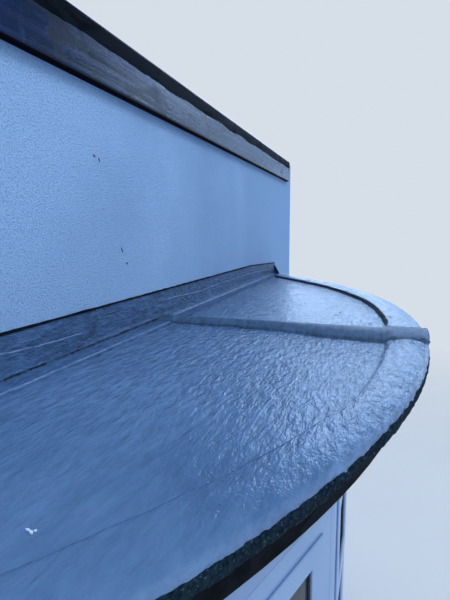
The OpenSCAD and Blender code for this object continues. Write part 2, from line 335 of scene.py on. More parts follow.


# painted render, fine and grainy; its pale blue is painted light, the cool cast of shade on a white render
renderLook = {
    "pale": srgb(155, 197, 249),
    "shade": srgb(129, 170, 221),
    # the colour of painted shade in the grain's dips
    "paintedGrainShade": srgb(108, 146, 196),
    "stops": (0.42, 0.86),
    # painted light: the render is painted a little paler towards the left end
    "paintedLightLeft": (-1.0, 2.3, 0.40, -0.28),
    "driftNoise": (1.4, 4, 0.55, 0.3),
    "grainNoise": (215, 4, 0.7, 0.3),
    "waveNoise": (14, 2, 0.5),
    "grainShade": (0.36, 0.52, 0.7, 0.0),
    "rough": 0.75,
    "specular": 0.35,
    "waves": 0.006,
    "grain": 0.006,
}


def renderMaterial(v):
    mat, tree, skin, co = newMaterial("paintedRender")
    drift = noiseNode(tree, co, *v["driftNoise"])
    # paler towards the left end as painted light, with a random drift
    tone = plus(tree, spread(tree, axesOf(tree, co)["X"], *v["paintedLightLeft"]), drift)
    colour = ramp(tree, tone, v["stops"], (v["shade"], v["pale"]))
    grain = noiseNode(tree, co, *v["grainNoise"])
    # the grain's dips are painted darker, as painted shade of its relief
    colour = mixColour(tree, spread(tree, grain, *v["grainShade"]), colour, v["paintedGrainShade"])
    paint(tree, skin, colour, v["rough"], v["specular"])
    waves = noiseNode(tree, co, *v["waveNoise"])
    addBump(tree, skin, [(waves, 0.25, v["waves"]), (grain, 1.0, v["grain"])])
    return mat


renderSkin = renderMaterial(renderLook)


# dark painted timber, its gloss worn unevenly; smudges are duller and darker, and downward faces are duller
# and darker as painted shade
timberLook = {
    # the colour of smudges, and of the painted shade on downward faces
    "smudge": srgb(1, 4, 13),
    "stops": (0.42, 0.62),
    "grainShare": 0.5,
    "grainNoise": (1.0, 6, 0.62, 1.6),
    "fadeNoise": (3.2, 4, 0.6, 0.6),
    "streakNoise": (1.0, 3, 0.6, 1.4),
    "smudgeNoise": (1.0, 5, 0.65, 1.2),
    "grainStretch": (2.2, 40, 40),
    "streakStretch": (34, 34, 7),
    "smudgeStretch": (5, 9, 15),
    "streakShare": (0.60, 0.74, 0.0, 0.6),
    "streakFade": (0.45, 0.6, 0.0, 1.0),
    "smudgeShare": (0.52, 0.64, 0.0, 0.8),
    # downward faces are painted darker and duller, as painted shade
    "paintedUnderShade": (-0.9, -0.5, 1.0, 0.0),
    "glossOver": (0.3, 0.7),
    "dullness": 0.22,
    "grain": 0.003,
    "streaks": 0.001,
}
bandLook = dict(timberLook, dark=srgb(2, 10, 30), worn=srgb(8, 36, 84), scuff=srgb(38, 74, 124),
                roughLow=0.14, roughHigh=0.28, specular=0.42)
eavesLook = dict(timberLook, dark=srgb(3, 9, 16), worn=srgb(7, 16, 27), scuff=srgb(12, 24, 38),
                 roughLow=0.6, roughHigh=0.8, specular=0.08)
deckLook = dict(timberLook, dark=srgb(6, 10, 16), worn=srgb(14, 20, 28), scuff=srgb(22, 28, 36),
                roughLow=0.7, roughHigh=0.85, specular=0.08)


def timberMaterial(name, v):
    mat, tree, skin, co = newMaterial(name)
    grain = noiseNode(tree, stretched(tree, co, v["grainStretch"]), *v["grainNoise"])
    fade = noiseNode(tree, co, *v["fadeNoise"])
    tone = blended(tree, grain, fade, v["grainShare"])
    colour = ramp(tree, tone, v["stops"], (v["dark"], v["worn"]))
    streaks = noiseNode(tree, stretched(tree, co, v["streakStretch"]), *v["streakNoise"])
    scuffs = times(tree, spread(tree, streaks, *v["streakShare"]), spread(tree, fade, *v["streakFade"]))
    colour = mixColour(tree, scuffs, colour, v["scuff"])
    smudge = noiseNode(tree, stretched(tree, co, v["smudgeStretch"]), *v["smudgeNoise"])
    smudge = spread(tree, smudge, *v["smudgeShare"])
    facing = axesOf(tree, tree.nodes.new("ShaderNodeNewGeometry").outputs["Normal"])
    # downward faces are painted darker as shade, and duller; smudges are darker and duller too
    dull = mathNode(tree, "MAXIMUM", smudge, spread(tree, facing["Z"], *v["paintedUnderShade"]))
    rough = spread(tree, fade, *v["glossOver"], v["roughLow"], v["roughHigh"])
    rough = plus(tree, rough, times(tree, dull, v["dullness"]))
    paint(tree, skin, mixColour(tree, dull, colour, v["smudge"]), rough, v["specular"])
    addBump(tree, skin, [(grain, 0.4, v["grain"]), (streaks, 0.15, v["streaks"])])
    return mat


bandSkin = timberMaterial("bandTimber", bandLook)
eavesSkin = timberMaterial("eavesPaint", eavesLook)
deckSkin = timberMaterial("deckBoards", deckLook)


# plain surfaces in two near tones: white paints and plastics, and coarse plaster
whiteLook = {
    "toneNoise": (2.6, 4, 0.55, 0.3),
    "stops": (0.36, 0.64),
    "grainDetail": (3, 0.55),
    "bump": 0.15,
    "depth": 0.001,
}
plasterLook = {
    "toneNoise": (3.0, 5, 0.6, 0.4),
    "stops": (0.35, 0.65),
    "grainDetail": (4, 0.6),
    "bump": 0.6,
    "depth": 0.003,
}


def plainMaterial(name, low, high, rough, grainScale, v=whiteLook):
    mat, tree, skin, co = newMaterial(name)
    colour = ramp(tree, noiseNode(tree, co, *v["toneNoise"]), v["stops"], (low, high))
    paint(tree, skin, colour, rough)
    addBump(tree, skin, [(noiseNode(tree, co, grainScale, *v["grainDetail"]), v["bump"], v["depth"])])
    return mat


# the white plastic and white boards are painted a dark grey-blue, as painted shade under the eaves with its
# cool cast
shadedPlasticSkin = plainMaterial("whitePlasticPaintedShade", srgb(112, 146, 192), srgb(122, 156, 202), 0.28, 240)
shadedBoardSkin = plainMaterial("whiteBoardsPaintedShade", srgb(108, 140, 186), srgb(120, 152, 198), 0.42, 90)
ceilingSkin = plainMaterial("ceilingPaint", srgb(170, 186, 210), srgb(184, 198, 220), 0.8, 120)
gasketSkin = plainMaterial("blackGasket", srgb(12, 14, 18), srgb(20, 23, 28), 0.55, 300)
chipSkin = plainMaterial("renderChips", srgb(22, 34, 56), srgb(40, 54, 80), 0.8, 200)
fleckSkin = plainMaterial("paleFleck", srgb(176, 204, 236), srgb(206, 226, 246), 0.5, 200)
concreteSkin = plainMaterial("concrete", srgb(128, 130, 132), srgb(160, 162, 164), 0.85, 60, plasterLook)
plinthSkin = plainMaterial("plinthRender", srgb(72, 86, 106), srgb(98, 112, 134), 0.85, 60, plasterLook)


# dark window glass, partly clear
glassLook = {
    "low": srgb(20, 30, 40),
    "high": srgb(28, 42, 54),
    "stops": (0.4, 0.6),
    "toneNoise": (3.0, 3),
    "rough": 0.04,
    "alpha": 0.82,
}


def glassMaterial(v):
    mat, tree, skin, co = newMaterial("windowGlass")
    tone = noiseNode(tree, co, *v["toneNoise"])
    paint(tree, skin, ramp(tree, tone, v["stops"], (v["low"], v["high"])), v["rough"])
    feed(tree, skin, {"Alpha": v["alpha"]})
    return mat


glassSkin = glassMaterial(glassLook)
print("materials made")


# plan of the roof, the same sizes as the CAD, in metres
roofPlan = {
    "radius": 2.08,
    "centreY": 1.24,
    "roundHalf": math.radians(40),
    "top": 2.65,
    "footOut": 0.060,
}
roofTop = roofPlan["top"]


# smooth noise from -1 to 1, with a seed for each use
def ripple(p, size, seed):
    return noise.noise(Vector((p[0] / size + seed, p[1] / size - seed, p[2] / size + seed * 0.37)))


# a layer of relief is given as (height, size, seed)
def relief(p, height, size, seed):
    return height * ripple(p, size, seed)


def lookUp(table, x):
    if x <= table[0][0]:
        return table[0][1]
    for (x0, v0), (x1, v1) in zip(table, table[1:]):
        if x <= x1:
            return v0 + (v1 - v0) * (x - x0) / (x1 - x0)
    return table[-1][1]


def smooth(a, b, x):
    t = min(max((x - a) / (b - a), 0.0), 1.0)
    return t * t * (3 - 2 * t)


# stations round the roof's edge: (0, angle) on the round, (side, share of the run) on the straight ends
def edgeStations(step):
    r, half = roofPlan["radius"], roofPlan["roundHalf"]
    straight = (r * math.cos(half) - roofPlan["centreY"]) / math.sin(half)
    nRound, nEnd = round(2 * half * r / step), round(straight / step)
    left = [(-1, 1 - i / nEnd) for i in range(nEnd)]
    middle = [(0, -half + 2 * half * i / nRound) for i in range(nRound + 1)]
    return left + middle + [(1, (i + 1) / nEnd) for i in range(nEnd)]


def edgePoint(station, inset, z, stop=0.0):
    side, t = station
    r, half, cy = roofPlan["radius"] - inset, roofPlan["roundHalf"], roofPlan["centreY"]
    if side == 0:
        return (r * math.sin(t), cy - r * math.cos(t), z)
    touchX, touchY = r * math.sin(half), cy - r * math.cos(half)
    run = (-stop - touchY) / math.sin(half)
    return (side * (touchX + t * run * math.cos(half)), touchY + t * run * math.sin(half), z)


def edgeY(x, inset):
    r, half, cy = roofPlan["radius"] - inset, roofPlan["roundHalf"], roofPlan["centreY"]
    touchX = r * math.sin(half)
    if abs(x) <= touchX:
        return cy - math.sqrt(r * r - x * x)
    return cy - r * math.cos(half) + (abs(x) - touchX) * math.tan(half)


# a closed skin through rings of points; a fourth number darkens (above 0) or pales (below 0) the coating
# there
def loft(name, rings):
    bm = bmesh.new()
    grimeAndPaintedLight = bm.verts.layers.float.new("grimeAndPaintedLight")
    rows = []
    for ring in rings:
        row = []
        for p in ring:
            v = bm.verts.new(p[:3])
            v[grimeAndPaintedLight] = p[3] if len(p) > 3 else 0.0
            row.append(v)
        rows.append(row)
    for a, b in zip(rows, rows[1:]):
        joinRings(bm, a, b)
    caps = [bm.faces.new(rows[0][::-1]), bm.faces.new(rows[-1])]
    bmesh.ops.triangulate(bm, faces=caps)
    return closedMesh(name, bm)


def joinRings(bm, a, b):
    for i in range(len(a)):
        j = (i + 1) % len(a)
        bm.faces.new((a[i], a[j], b[j], b[i]))


def closedMesh(name, bm):
    bmesh.ops.recalc_face_normals(bm, faces=bm.faces)
    mesh = bpy.data.meshes.new(name)
    bm.to_mesh(mesh)
    bm.free()
    return mesh


def addPiece(name, mesh, mat, stands=(), sharpAngle=38):
    mesh.shade_smooth()
    mesh.set_sharp_from_angle(angle=math.radians(sharpAngle))
    obj = bpy.data.objects.new(name, mesh)
    scene.collection.objects.link(obj)
    mesh.materials.append(mat)
    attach(obj, "root")
    if stands:
        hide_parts(*stands)
    return obj


# coated roof sheets, with the slight dips of a boarded deck
sheetLook = {
    "columnStep": 0.0085,
    "rows": 200,
    "halfLength": 1.735,
    "inset": 0.012,
    "sink": 0.0008,
    "thickness": 0.006,
    "stretch": 0.34,
    # height, size, seed, and whether it is calmer towards the left end
    "relief": [(0.0011, 0.30, 2.1, False), (0.0005, 0.06, 7.7, False),
               (0.0007, 0.013, 4.1, True), (0.0008, 0.034, 9.4, True)],
}


def buildSheet(name, side, v):
    count = round(v["halfLength"] / v["columnStep"])
    rings = []
    for i in range(count + 1):
        x = side * v["halfLength"] * i / count
        far = edgeY(x, v["inset"])
        calm = calmEnd["share"] + (1 - calmEnd["share"]) * smooth(calmEnd["full"], calmEnd["none"], x)
        ring = []
        for j in range(v["rows"] + 1):
            y = far * j / v["rows"]
            z = roofTop - v["sink"]
            for height, size, seed, calmer in v["relief"]:
                z += relief((x * v["stretch"], y, 0), (calm if calmer else 1.0) * height, size, seed)
            ring.append((x, y, z))
        low = roofTop - v["thickness"]
        ring += [(x, far, low), (x, 0, low)]
        rings.append(ring)
    addPiece(name, loft(name, rings), coatSkin, ["roof_" + name])


buildSheet("sheet_left", -1, sheetLook)
buildSheet("sheet_right", 1, sheetLook)


# raised rim: (distance in from the edge, height) in mm, inner foot first
rimLook = {
    "step": 0.0056,
    "profile": [(107, -0.8), (104, 0.6), (100.5, 4.6), (96, 8.2), (91, 10.0), (85, 11.0), (79, 11.8),
                (72, 12.7), (65, 13.5), (58, 14.0), (50, 14.3), (43, 13.8), (37, 13.1), (31, 12.3),
                (25, 11.5), (20, 10.7), (15, 9.6), (9, 7.6), (5, 5.6), (2, 3.4), (0.4, 1.4), (-0.2, -0.6),
                (-0.8, -3.6), (-1.0, -6.0), (0.6, -6.2)],
    "under": [(14, -2.0), (70, -2.0), (107, -2.0)],
    "ridge": 50.0,
    "foot": 104.0,
    "footStop": 0.002,
    # width of the rim by the angle round the front, in degrees
    "width": [(-40, 108), (-33, 108), (-25, 97), (-16, 84), (-9, 99), (-4, 105), (6, 104), (18, 98),
              (30, 106), (40, 104)],
    "wave": (0.9, 0.11, 8.2),
    "lump": (0.7, 0.026, 0.4),
    "stipple": (0.5, 0.012, 6.2),
    "fullRelief": 8,
    "edgeBand": 9,
    "edgeJitter": 1.5,
    "edgeSize": 0.022,
    "footJitter": (3.0, 0.07, 3.3),
    "hem": (1.6, 0.013, 2.7),
    "hemFull": 4,
    # soiling and painted shade in the crease at the inner foot, more of both on the far half
    "creaseFrom": 99,
    "farCreaseFrom": 95,
    "crease": 0.08,
    "farCrease": 2.4,
    "farHalf": (0.0, 0.25),
    # the outer edge is painted pale as a highlight, and less so at the left end
    "highlightTo": 8,
    "worn": -0.1,
    "farHighlight": -0.6,
    "highlightRun": (-0.8, -0.1),
}


def buildRim(v):
    rings = []
    for station in edgeStations(v["step"]):
        mark = edgePoint(station, v["ridge"] / 1000, 0)
        angle = math.degrees(math.atan2(mark[0], roofPlan["centreY"] - mark[1]))
        width = lookUp(v["width"], angle) + relief(mark, *v["footJitter"])
        ragged = 0.6 + ripple(mark, v["edgeSize"], 5.1) + 0.6 * ripple(mark, v["edgeSize"] * 0.4, 1.9)
        jitter = max(0.0, v["edgeJitter"] * ragged)
        wave = relief(mark, *v["wave"])
        hem = relief(mark, *v["hem"]) - v["hem"][0] / 2
        far = smooth(*v["farHalf"], mark[0])
        # painted highlight along the outer edge, stronger towards the right end
        worn = v["worn"] + v["farHighlight"] * smooth(*v["highlightRun"], mark[0])
        ring = []
        for inset, height in v["profile"] + v["under"]:
            d, h, grimeAndPaintedLight = inset, height, 0.0
            if inset > v["ridge"]:
                d = v["ridge"] + (inset - v["ridge"]) * (width - v["ridge"]) / (v["foot"] - v["ridge"])
            elif inset < v["edgeBand"]:
                d = inset + jitter * (1 - inset / v["edgeBand"])
            here = edgePoint(station, d / 1000, 0, roofPlan["footOut"] - v["footStop"])
            if height > 0.4:
                rise = wave + relief(here, *v["lump"]) + relief(here, *v["stipple"])
                h += rise * min(1.0, height / v["fullRelief"])
            if inset < 0.5 and height < 0:
                h += hem * min(1.0, -height / v["hemFull"])
            # soiling and painted shade in the crease
            inCrease = v["creaseFrom"] < inset <= v["foot"] and height > 0
            if inCrease or (far > 0.5 and inset > v["farCreaseFrom"]):
                grimeAndPaintedLight = v["crease"] + v["farCrease"] * far
            # painted highlight on the outer edge
            if inset < v["highlightTo"]:
                grimeAndPaintedLight = worn
            ring.append((here[0], here[1], roofTop + h / 1000, grimeAndPaintedLight))
        rings.append(ring)
    stands = ["rim_front", "rim_left_end", "rim_right_end"]
    addPiece("rim", loft("rim", rings), coatSkin, stands, 50)


buildRim(rimLook)


# drip edge under a ragged growth of moss: (distance in from the edge, depth) in mm
dripLook = {
    "step": 0.0045,
    "profile": [(9, -4.6), (5, -3.2), (2, -2.2), (0.2, -3.4), (-0.6, -6.0), (-0.7, -9.5), (-0.7, -13.5),
                (-0.2, -18), (0.8, -22), (2.6, -25.5), (6.5, -26.8), (12, -25.5), (12, -4.6)],
    "edgeBand": 9,
    "lump": 2.0,
    "lumpSize": 0.009,
    "most": 4.4,
    # the lower edge hangs in waves, and the upper one climbs in waves
    "hang": (2.6, 0.016, 4.7),
    "hangWide": (1.6, 0.09, 2.2),
    "lowest": -30,
    "climb": (1.8, 0.012, 8.1),
    "climbWide": (1.6, 0.06, 3.6),
    "climbLevel": 1.4,
}


def buildDrip(v):
    rings = []
    for station in edgeStations(v["step"]):
        mark = edgePoint(station, 0, 0)
        hang = relief(mark, *v["hang"]) + relief(mark, *v["hangWide"])
        climb = relief(mark, *v["climb"]) + relief(mark, *v["climbWide"]) - v["climbLevel"]
        ring = []
        for inset, depth in v["profile"]:
            d, z = inset, depth
            if inset < v["edgeBand"]:
                here = edgePoint(station, inset / 1000, depth / 1000)
                lump = 0.55 + ripple(here, v["lumpSize"], 6.6) + 0.5 * ripple(here, v["lumpSize"] * 0.45, 1.3)
                d = max(inset - max(v["lump"] * lump, -1.0), -v["most"])
                if depth > -7:
                    z = depth + climb
            if depth < -20:
                z = max(depth + hang, v["lowest"])
            elif depth < -10:
                z = depth + hang * 0.4
            ring.append(edgePoint(station, d / 1000, roofTop + z / 1000))
        rings.append(ring)
    addPiece("mossy_drip", loft("mossy_drip", rings), mossSkin, ["drip_edge"], 80)


buildDrip(dripLook)


# roll across the middle: half its width in mm by the distance out from the wall
rollLook = {
    "step": 0.008,
    "from": 0.013,
    "to": 0.8405,
    "near": [(0.0, 44), (0.06, 33), (0.30, 34), (0.43, 57), (0.59, 100), (0.71, 112), (0.84, 117)],
    "far": [(0.0, 44), (0.06, 33), (0.43, 38), (0.84, 52)],
    # share of the half width, height in mm
    "profile": [(-1.03, -1.2), (-1.0, 0.8), (-0.93, 4.6), (-0.83, 9.4), (-0.7, 14.2), (-0.57, 18.0),
                (-0.43, 20.6), (-0.28, 21.6), (-0.13, 21.2), (0.0, 19.6), (0.2, 18.4), (0.45, 15.6),
                (0.7, 11.0), (0.9, 5.0), (1.0, 0.8), (1.04, -1.2)],
    "lump": (0.9, 0.05, 3.9),
    "fullRelief": 12,
    "footShare": 0.9,
    "footJitter": (3.5, 0.035, 9.1),
    "rimFrom": 0.724,
    "rimTo": 0.752,
    "rimHeight": 12.6,
    "rimGain": 2.6,
    "crest": 21.2,
    "tailFrom": 0.826,
    "tailDrop": 4.0,
    # the roll's foot is painted darker along its edges
    "footDarkening": 0.6,
    "darkFootShares": (-0.93, -1.0, 1.0),
    # the skirt and the underside, in mm below the rim or the sheet
    "skirt": 3.0,
    "underRim": 4.0,
    "underSheet": 1.8,
    "underShare": 0.6,
}


def buildRoll(v):
    count = round((v["to"] - v["from"]) / v["step"])
    rings = []
    for i in range(count + 1):
        out = v["from"] + (v["to"] - v["from"]) * i / count
        near, far = lookUp(v["near"], out), lookUp(v["far"], out)
        onRim = smooth(v["rimFrom"], v["rimTo"], out) * v["rimHeight"]
        tail = smooth(v["tailFrom"], v["to"], out)
        ring = []
        for share, height in v["profile"]:
            x = share * (near if share < 0 else far)
            if abs(share) > v["footShare"]:
                x += math.copysign(1, share) * relief((out, share, 0), *v["footJitter"])
            h = height
            if height > 0:
                h = onRim + height * (v["crest"] + v["rimGain"] * onRim / v["rimHeight"] - onRim) / v["crest"]
                h += relief((x / 1000, -out, 0), *v["lump"]) * min(1.0, height / v["fullRelief"])
                if height > 3:
                    h -= tail * v["tailDrop"]
            elif onRim > 0:
                h = onRim - v["skirt"]
            grimeAndPaintedLight = v["footDarkening"] if share in v["darkFootShares"] else 0.0
            ring.append((x / 1000, -out, roofTop + h / 1000, grimeAndPaintedLight))
        under = roofTop + (onRim - v["underRim"] if onRim else -v["underSheet"]) / 1000
        ring += [(half * v["underShare"] / 1000, -out, under) for half in (far, -near)]
        rings.append(ring)
    addPiece("roll", loft("roll", rings), rollSkin, ["centre_roll"], 50)


buildRoll(rollLook)


# lead-like flashing against the wall, in lapped strips: (distance out, height) in mm
flashingLook = {
    "step": 0.0055,
    "halfLength": 1.758,
    "height": 99.5,
    "drop": 24.0,
    "level": 1.15,
    # height of the lap between the strips by the place along the wall
    "lap": [(-1.76, 80), (-0.9, 74), (-0.69, 64), (-0.616, 57), (-0.552, 54), (-0.504, 52), (-0.44, 50),
            (-0.2, 58), (0.05, 69), (0.20, 62), (0.355, 57), (0.55, 60), (0.78, 60), (1.105, 63),
            (1.4, 52), (1.76, 40)],
    "lapJitter": (2.2, 0.03, 1.1),
    "lapDepth": 2.2,
    "lapEnd": -0.43,
    "lapCut": 0.0006,
    # past its end the lap is gone, then it comes back less deep
    "farLap": (0.02, 0.10),
    "farLapShare": 0.7,
    "faceOut": 6.2,
    "wrinkle": 1.5,
    "crumple": 1.3,
    "leastOut": 3.0,
    "mostOut": 11.5,
    "foot": [(9.4, 15.0), (11.0, 11.0), (14.0, 8.4), (19, 7.0), (27, 6.2), (36, 5.6), (45, 5.0),
             (52, 4.6), (57, 4.6), (60.0, 3.4), (61.5, 1.2), (61.5, -1.0)],
    "footJitter": (3.8, 0.06, 6.1),
    "footRagged": (1.5, 0.02, 3.0),
    "footRelief": (0.7, 0.03, 4.4),
    "footLip": 0.9,
    # the foot lies flat on the far half
    "farHalf": (-0.05, 0.12),
    # darkening and paling by row: darker along the top edge, darker just above the lap and paler on its edge,
    # painted shade in the crease (strong on the near half) and beside it on the near half, a painted
    # highlight beside the crease on the far half, and a painted highlight along the foot's lip on the near
    # half
    "topDarkening": 0.5,
    "lapDarkening": 0.7,
    "lapPaling": -1.3,
    "creaseShade": (1.7, 0.2),
    "besideCreaseShadeAndHighlight": (0.5, -1.6),
    "footHighlight": -1.2,
}


def flashingTop(x, v, lower=0.0):
    past = max(0.0, abs(x) - v["level"])
    return v["height"] - lower - v["drop"] * past / (v["halfLength"] - v["level"])


# heights down the face, in mm: the top edge, down to the lap (entry 8), and on to the foot
def faceHeights(height, lap):
    upper, lower = height - 5, lap - 3.5
    heights = [height, height - 1.5, upper]
    heights += [upper + (lap + 1.6 - height + 5) * k / 5 for k in range(1, 6)]
    heights += [lap - 0.8, lower]
    return heights + [lower + (20 - lap + 3.5) * k / 6 for k in range(1, 7)]


def buildFlashing(v):
    half = roofPlan["roundHalf"]
    slant = math.cos(half) / math.sin(half)
    count = round(2 * v["halfLength"] / v["step"])
    lapShare = v["lapEnd"] / v["halfLength"]
    shares = [-1 + 2 * i / count for i in range(count + 1)]
    shares = [s for s in shares if abs(s - lapShare) > 0.002]
    shares = sorted(shares + [lapShare - v["lapCut"], lapShare + v["lapCut"]])
    # rows counted down the face (lapRow), round the ring (footRow) and along the foot (lipRow, footLast)
    lapRow, footRow, lipRow, footLast = 8, 17, 8, len(v["foot"]) - 1
    rings = []
    for share in shares:
        x0 = share * v["halfLength"]
        along = (x0, 0, 0)
        height = flashingTop(x0, v)
        lap = min(lookUp(v["lap"], x0) + relief(along, *v["lapJitter"]), height - 8)
        depth = v["lapDepth"]
        if share >= lapShare:
            depth = depth * v["farLapShare"] * smooth(*v["farLap"], x0)
        nearHalf = 1 - smooth(*v["farHalf"], x0)
        farHalf = 1 - nearHalf
        ring = [(0, height)]
        for k, z in enumerate(faceHeights(height, lap)):
            here = (x0, 0, z / 1000)
            y = v["faceOut"] + v["wrinkle"] * (0.7 * ripple(here, 0.055, 2.7) + 0.5 * ripple(here, 0.02, 5.5))
            y += v["crumple"] * abs(ripple((x0 * 0.6, 0, z / 1000), 0.032, 8.8))
            if k >= lapRow:
                y += depth
            if k == lapRow:
                y += 0.5 * depth
            ring.append((min(max(y, v["leastOut"]), v["mostOut"]), z))
        for k, (out, h) in enumerate(v["foot"]):
            y = out
            if k >= lipRow:
                y += relief(along, *v["footJitter"]) + relief(along, *v["footRagged"])
            if h > 2:
                h += relief((x0, out / 1000, 0), *v["footRelief"])
            if abs(k - lipRow) <= 1:
                h += v["footLip"] * nearHalf
            if k >= 2:
                h = h * nearHalf + (0.4 + 0.12 * (footLast - k)) * farHalf
            ring.append((y, max(h, -1.0) if k < footLast else -1.0))
        ring += [(12, -1.0), (0, 8)]
        # darker at the top edge and the lap, painted shade in the crease, painted highlights beside it and on
        # the foot's lip
        grimeAndPaintedLight = {1: v["topDarkening"], 2: v["topDarkening"], footRow + lipRow: v["footHighlight"] * nearHalf}
        for k, (onNear, onFar) in enumerate((v["creaseShade"], v["besideCreaseShadeAndHighlight"])):
            grimeAndPaintedLight[footRow + 1 + k] = onNear * nearHalf + onFar * farHalf
        if depth > 0.1:
            grimeAndPaintedLight[lapRow], grimeAndPaintedLight[lapRow + 1] = v["lapDarkening"], v["lapPaling"]
        points = []
        for k, (out, z) in enumerate(ring):
            x = share * (v["halfLength"] - out / 1000 * slant)
            points.append((x, -out / 1000, roofTop + z / 1000, grimeAndPaintedLight.get(k, 0.0)))
        rings.append(points)
    addPiece("flashing", loft("flashing", rings), flashSkin, ["wall_flashing"], 60)


buildFlashing(flashingLook)


# dark sealing bead on the flashing's top edge
beadLook = {
    "step": 0.008,
    "halfLength": 1.755,
    "section": [(0.0, 0.0), (6.6, 0.0), (8.2, 1.0), (8.0, 3.0), (5.5, 4.4), (2.0, 4.9), (0.0, 4.6)],
    "sink": 0.6,
    "swell": (0.25, 0.03, 7.0),
}


def buildBead(v, w):
    count = round(2 * v["halfLength"] / v["step"])
    rings = []
    for i in range(count + 1):
        x = v["halfLength"] * (2 * i / count - 1)
        base = flashingTop(x, w, v["sink"])
        grow = 1.0 + relief((x, 0, 0), *v["swell"])
        rings.append([(x, -y * grow / 1000, roofTop + (base + z * grow) / 1000) for y, z in v["section"]])
    mesh = loft("flashing_bead", rings)
    addPiece("flashing_bead", mesh, eavesSkin, ["flashing_strip"], 60)


buildBead(beadLook, flashingLook)


# cap on the roll's outer end: outline in (share of the half width, height in mm), depths in (m, share)
capLook = {
    "halfWidth": 60.0,
    "middle": 5,
    "outline": [(-1.0, -9), (-1.0, 6), (-0.92, 12.5), (-0.6, 17.5), (-0.3, 20.0), (0, 20.6), (0.3, 20.0),
                (0.6, 17.5), (0.92, 12.5), (1.0, 6), (1.0, -9)],
    "depths": [(0.8385, 0.97), (0.8425, 1.0), (0.8444, 0.97), (0.8449, 0.9)],
    "jitter": (0.0008, 9.0, 2.0),
}


def buildCap(v):
    rings = []
    for out, size in v["depths"]:
        ring = []
        for share, height in v["outline"]:
            x = share * v["halfWidth"] * size
            z = v["middle"] + (height - v["middle"]) * size
            ring.append((x / 1000 + relief((x, height, out), *v["jitter"]), -out, roofTop + z / 1000))
        rings.append(ring)
    addPiece("roll_end_cap", loft("roll_end_cap", rings), rollSkin, ["roll_cap"], 40)


buildCap(capLook)
print("roof pieces made")


# small marks: irregular thin scabs, each with its place, two half axes and a seed
scabLook = {
    "sides": 11,
    "ragged": 0.38,
    "raggedSize": 1.3,
    "thickness": 0.0012,
    "lifts": (-0.6, 0.5),
}


def scabs(name, marks, mat, v):
    bm = bmesh.new()
    for place, along, across, seed in marks:
        place, along, across = Vector(place), Vector(along), Vector(across)
        up = along.cross(across).normalized() * v["thickness"]
        rims = []
        for lift in v["lifts"]:
            rim = []
            for k in range(v["sides"]):
                a = math.tau * k / v["sides"]
                c, s, size = math.cos(a), math.sin(a), v["raggedSize"]
                r = 1 + v["ragged"] * noise.noise(Vector((c * size + seed, s * size, seed)))
                rim.append(bm.verts.new(place + along * c * r + across * s * r + up * lift))
            rims.append(rim)
        crown = bm.verts.new(place + up)
        foot = bm.verts.new(place - up)
        low, high = rims
        for k in range(v["sides"]):
            m = (k + 1) % v["sides"]
            bm.faces.new((low[k], low[m], high[m], high[k]))
            bm.faces.new((high[k], high[m], crown))
            bm.faces.new((low[m], low[k], foot))
    addPiece(name, closedMesh(name, bm), mat)


# chips in the render, and pale flecks and dark specks on the roof, in metres
wallMarks = [
    ((-0.330, -0.0003, 3.145), (0.0040, 0, -0.0030), (0.0014, 0, 0.0018), 1.0),
    ((-0.309, -0.0003, 3.138), (0.0022, 0, -0.0050), (0.0016, 0, 0.0008), 2.0),
    ((-0.216, -0.0003, 2.898), (0.0040, 0, -0.0085), (0.0018, 0, 0.0010), 3.0),
    ((-0.192, -0.0003, 2.858), (0.0025, 0, -0.0040), (0.0018, 0, 0.0010), 4.0),
]
roofMarks = [
    ((-1.0315, -0.3810, 2.6502), (-0.0004, -0.0034, 0), (0.0013, 0.0002, 0), 1.0),
    ((-1.0335, -0.3868, 2.6502), (-0.0010, -0.0030, 0), (0.0016, -0.0004, 0), 2.4),
    ((-1.0300, -0.3890, 2.6502), (0.0012, -0.0012, 0), (0.0008, 0.0008, 0), 3.1),
]
# specks by the surface they lie on: its height, their half axes, the first seed, and their places
speckGroups = [
    (2.6496, 0.0055, 0.0018, 1.0,
     [(0.2288, -0.6382), (0.1972, -0.656), (0.1327, -0.6711), (0.1542, -0.6294), (0.087, -0.6786),
      (0.0612, -0.694), (0.26, -0.6128), (0.3321, -0.5758), (0.2068, -0.5628), (0.3782, -0.5006),
      (0.5072, -0.4186)]),
    (2.6632, 0.0045, 0.0022, 8.7, [(-0.139, -0.7396), (-0.1238, -0.7522)]),
    (2.6667, 0.006, 0.005, 11.5, [(-0.1026, -0.8238)]),
]
roofSpecks = []
for height, along, across, seed, places in speckGroups:
    for k, (x, y) in enumerate(places):
        roofSpecks.append(((x, y, height), (along, 0, 0), (0, across, 0), round(seed + 0.7 * k, 1)))
scabs("render_chips", wallMarks, chipSkin, scabLook)
scabs("roof_flecks", roofMarks, fleckSkin, dict(scabLook, thickness=0.0014))
scabs("roof_specks", roofSpecks, chipSkin, scabLook)


# painted shade on the timber band: a ragged dark strip of painted shadow along its top, and a dark strip of
# painted shade under it, in metres
bandShadeLook = {
    "step": 0.009,
    "endGap": 0.002,
    "face": 0.026,
    "skin": 0.0006,
    "top": 3.4592,
    "edge": 3.413,
    "wander": (0.007, 0.16, 2.9),
    "ragged": (0.0028, 0.02, 5.3),
    "sunk": 0.001,
    "lip": 0.0001,
    "slope": 0.004,
    "topSlope": 0.003,
    "under": 3.320,
    "underBack": 0.0004,
    "underFront": 0.003,
    "underSlope": 0.0034,
    "underShare": 0.12,
}


